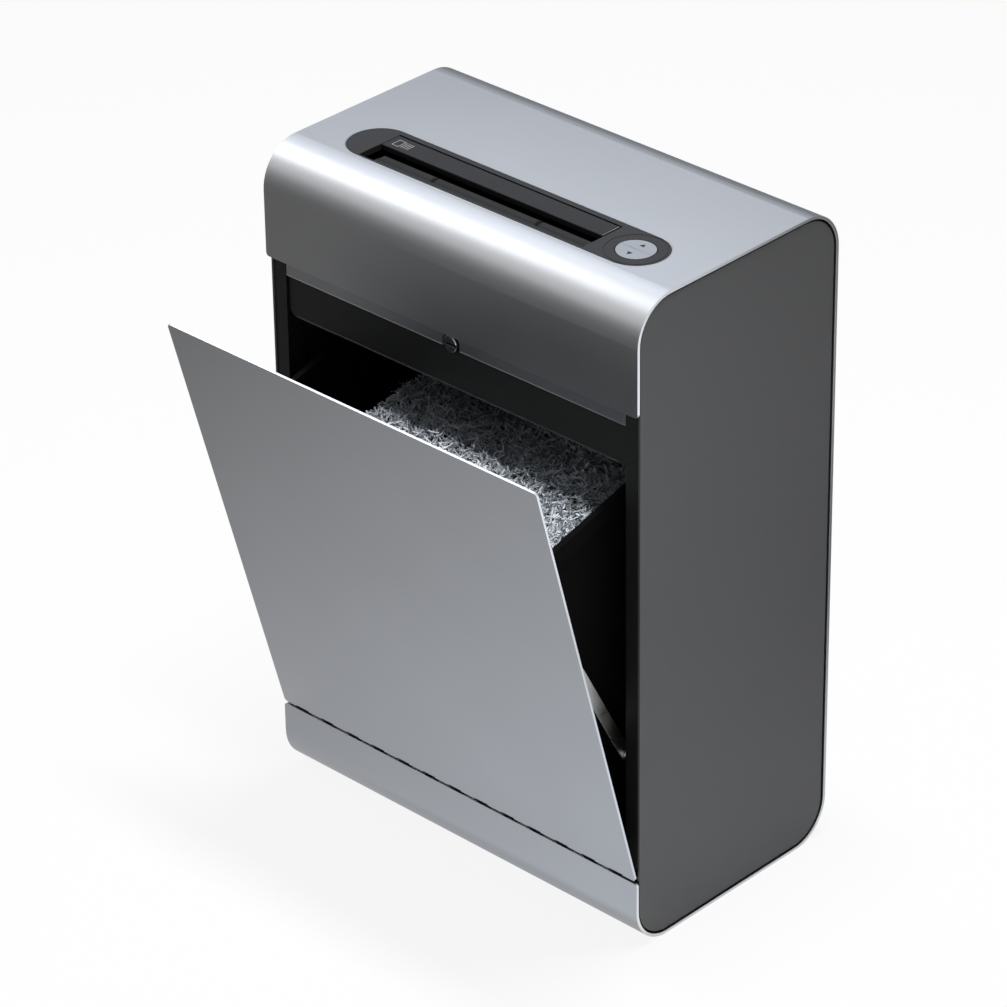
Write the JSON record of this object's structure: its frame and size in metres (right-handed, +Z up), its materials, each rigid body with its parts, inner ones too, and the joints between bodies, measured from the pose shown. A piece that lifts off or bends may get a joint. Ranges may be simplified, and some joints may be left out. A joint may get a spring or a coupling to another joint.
{
  "type": "paper shredder",
  "caption": "Deskside paper shredder with an aluminium band cabinet, a tilt-out front door carrying the waste bin, a flush feed panel and a geared cross-cut head.",
  "frame": {"origin": "middle of the cabinet's flat underside, on the floor", "axes": "+Z up, the door on the -Y side, +X to the right of someone facing the door"},
  "size_m": [0.388, 0.3322, 0.5663],
  "materials": {
    "band": "satin anodised",
    "door": "satin anodised",
    "sides": "satin grey paint",
    "rail": "satin anodised",
    "black_steel": "matt black paint",
    "black_plastic": "fine matt texture",
    "charcoal": "fine matt texture",
    "silver": "silver paint",
    "paper": "loose cut paper",
    "board": "solder mask",
    "bronze": "sintered",
    "nylon": "natural nylon",
    "motor_black": "satin black paint",
    "hinge_black": "black finish",
    "dark_steel": "hardened steel",
    "zinc": "zinc plate",
    "steel": "bare steel"
  },
  "bodies": {
    "cabinet": {"wrap_shell": "band", "left_side_panel": "sides", "right_side_panel": "sides", "left_panel_brackets": "steel", "right_panel_brackets": "steel", "left_post": "black_steel", "right_post": "black_steel", "door_stop_rail": "rail", "head_tray": "black_plastic", "left_tray_rail": "steel", "right_tray_rail": "steel", "latch_housing": "black_plastic", "hinge_frame_leaf": "hinge_black", "hinge_pin": "hinge_black", "frame_leaf_rivets": "steel", "stay_pivot": "zinc", "feed_panel": "charcoal", "flap_rod": "steel", "feed_guide": "charcoal", "throat_rear": "black_plastic", "paper_sensor": "black_plastic", "rocker_carrier": "black_plastic", "control_board": "board", "push_switches": "black_plastic", "left_head_plate": "steel", "right_head_plate": "steel", "tie_rods": "steel", "head_screws": "steel", "shaft_bushes": "bronze", "front_stripper": "steel", "rear_stripper": "steel", "idler_stud": "steel", "motor": "motor_black", "power_inlet": "black_plastic", "door_switch": "black_plastic"},
    "door": {"hinge_door_leaf": "hinge_black", "door_leaf_rivets": "steel", "door_panel": "door", "striker_plate": "steel", "bin_carrier": "black_steel", "carrier_spacers": "steel", "waste_bin": "black_plastic", "paper_shreds": "paper", "stay_door_ear": "zinc", "door_magnet": "steel"},
    "stay": {"stay_arm": "zinc"},
    "latch": {"latch_plunger": "dark_steel"},
    "flap": {"safety_flap": "charcoal"},
    "rocker": {"rocker_button": "silver"},
    "rear_roller": {"rear_cutter": "dark_steel", "rear_sync_gear": "steel", "drive_gear": "steel"},
    "front_roller": {"front_cutter": "dark_steel", "front_sync_gear": "steel"},
    "idler": {"idler_gear": "nylon"},
    "motor_rotor": {"motor_pinion": "steel"}
  },
  "joints": [
    {"name": "door_tilt", "type": "hinge", "parent": "cabinet", "child": "door", "pos_m": [0, -0.108, 0.0645], "axis": [1, 0, 0], "range_deg": [-15.3, 0]},
    {"name": "stay_turn", "type": "hinge", "parent": "cabinet", "child": "stay", "pos_m": [0.167, -0.0955, 0.163], "axis": [1, 0, 0], "range_deg": [-25.6, 0]},
    {"name": "latch_press", "type": "slide", "parent": "cabinet", "child": "latch", "axis": [0, 1, 0], "range_m": [0, 0.004], "stiffness_N_per_m": 300},
    {"name": "flap_turn", "type": "hinge", "parent": "cabinet", "child": "flap", "pos_m": [-0.016, -0.031, 0.56], "axis": [1, 0, 0], "range_deg": [0, 10], "stiffness_Nm_per_rad": 0.03, "springref_deg": -17.19},
    {"name": "rocker_turn", "type": "hinge", "parent": "cabinet", "child": "rocker", "pos_m": [0.1324, -0.0462, 0.5585], "axis": [1, 0, 0], "range_deg": [-3, 3], "stiffness_Nm_per_rad": 0.5},
    {"name": "rear_roller_spin", "type": "hinge", "parent": "cabinet", "child": "rear_roller", "pos_m": [-0.015, -0.0321, 0.498], "axis": [1, 0, 0], "continuous": true},
    {"name": "front_roller_spin", "type": "hinge", "parent": "cabinet", "child": "front_roller", "pos_m": [-0.015, -0.0651, 0.498], "axis": [1, 0, 0], "continuous": true},
    {"name": "idler_spin", "type": "hinge", "parent": "cabinet", "child": "idler", "pos_m": [0.13, 0.01014, 0.50938], "axis": [1, 0, 0], "continuous": true},
    {"name": "motor_spin", "type": "hinge", "parent": "cabinet", "child": "motor_rotor", "pos_m": [0.1, 0.0449, 0.5], "axis": [1, 0, 0], "continuous": true}
  ],
  "couplings": [
    {"joint": "stay_turn", "follows": "door_tilt", "ratio": 1.6679},
    {"joint": "front_roller_spin", "follows": "rear_roller_spin", "ratio": -1},
    {"joint": "idler_spin", "follows": "rear_roller_spin", "ratio": -4},
    {"joint": "motor_spin", "follows": "rear_roller_spin", "ratio": 20}
  ]
}
